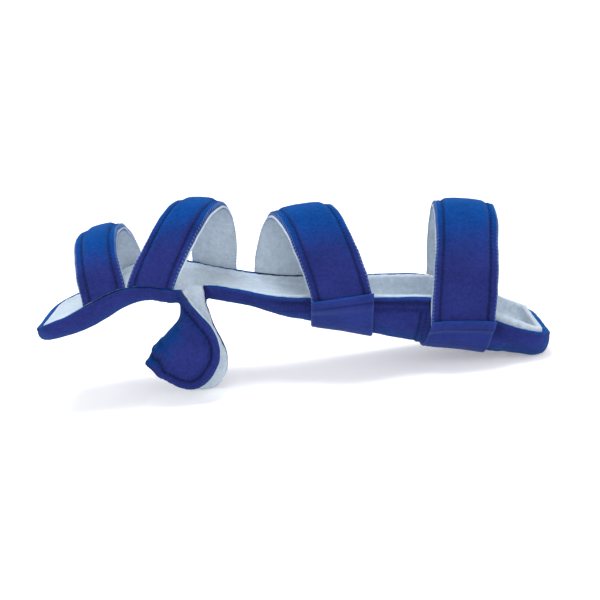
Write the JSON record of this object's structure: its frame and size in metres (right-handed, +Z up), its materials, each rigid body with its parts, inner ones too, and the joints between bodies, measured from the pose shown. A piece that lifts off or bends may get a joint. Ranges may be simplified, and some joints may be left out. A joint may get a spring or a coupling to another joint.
{
  "type": "resting hand splint",
  "caption": "Padded right-hand resting splint: a blue cloth pan from fingertips to forearm with a pale terry lining, a folded thumb trough and strap loops with hook tabs.",
  "frame": {"origin": "middle of the bottom of the overall box, on the surface it rests on", "axes": "+X from the fingertips to the elbow end, +Y from the thumb side to the little finger side, +Z up, the back of the hand"},
  "size_m": [0.3144, 0.0994, 0.1199],
  "materials": {
    "laminate": "blue foam-backed loop cloth, matt with a soft sheen",
    "terry": "pale blue-white terry cloth",
    "hook_tab": "blue hook tab, a little smoother than the cloth"
  },
  "bodies": {
    "root": {"splint_cover": "laminate", "terry_lining": "terry", "finger_strap": "laminate", "finger_strap_lining": "terry", "finger_strap_tab": "hook_tab", "palm_strap": "laminate", "palm_strap_lining": "terry", "palm_strap_tab": "hook_tab", "wrist_strap": "laminate", "wrist_strap_lining": "terry", "wrist_strap_tab": "hook_tab", "forearm_strap": "laminate", "forearm_strap_lining": "terry", "forearm_strap_tab": "hook_tab"}
  },
  "joints": []
}
